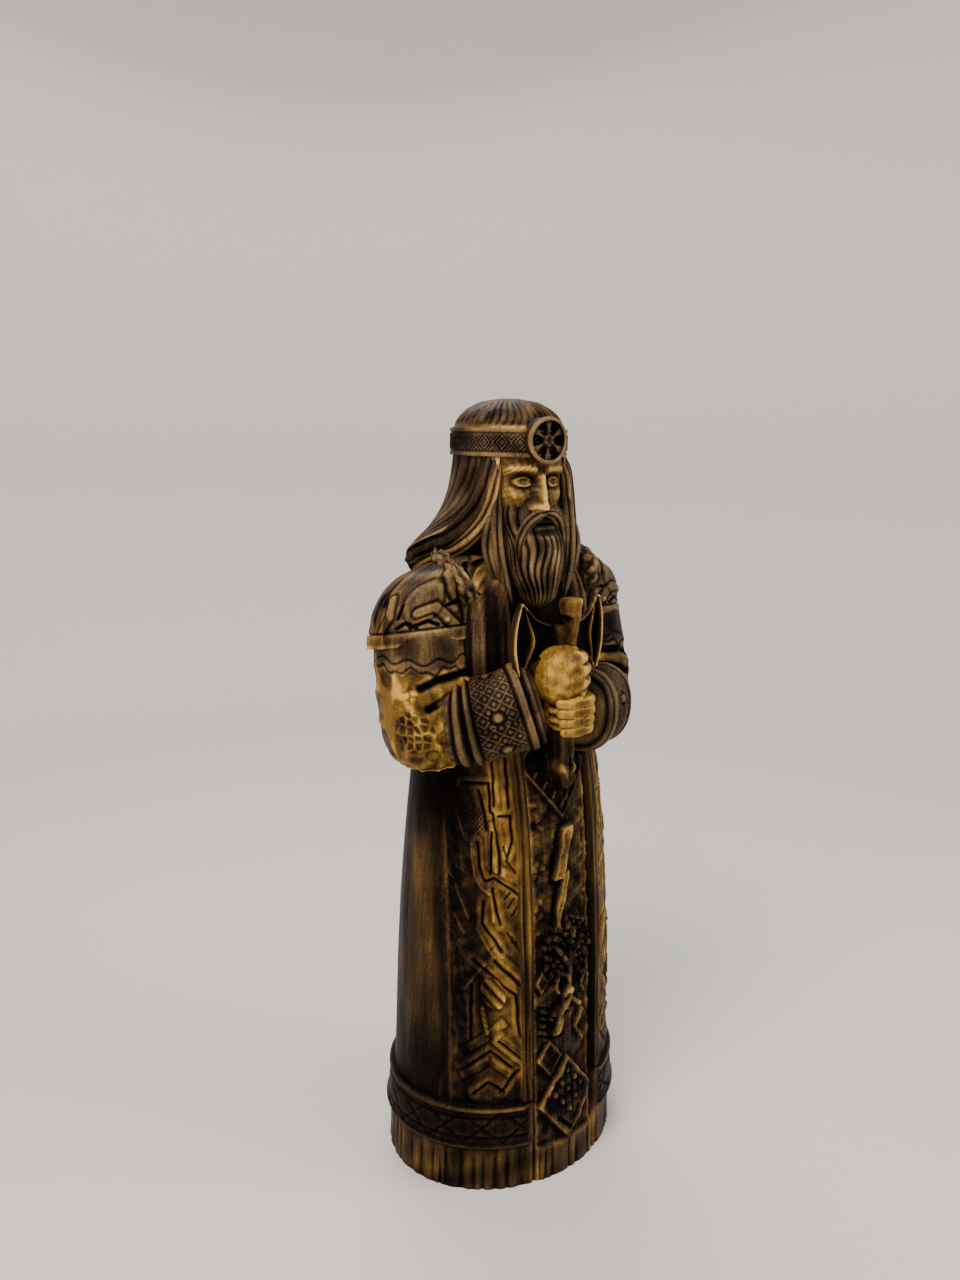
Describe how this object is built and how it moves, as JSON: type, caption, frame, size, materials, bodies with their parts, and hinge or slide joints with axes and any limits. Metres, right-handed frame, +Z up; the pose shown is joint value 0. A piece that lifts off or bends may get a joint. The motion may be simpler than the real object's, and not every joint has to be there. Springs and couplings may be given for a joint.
{
  "type": "carved wooden statuette",
  "caption": "Standing carved figure of the thunder god Perun in a long coat, holding an axe upright in both hands; a shelf ornament that rests on its flat underside.",
  "frame": {"origin": "middle of the flat underside of the coat", "axes": "+Z up along the figure's height; the figure faces -Y, with its right hand towards -X"},
  "size_m": [0.0586, 0.043, 0.15],
  "materials": {
    "stained_wood": "carved hardwood, stained near black in the cuts, rubbed back to amber and pale gold on the high points, and waxed to a satin sheen"
  },
  "bodies": {
    "root": {"perun_statue": "stained_wood"}
  },
  "joints": []
}
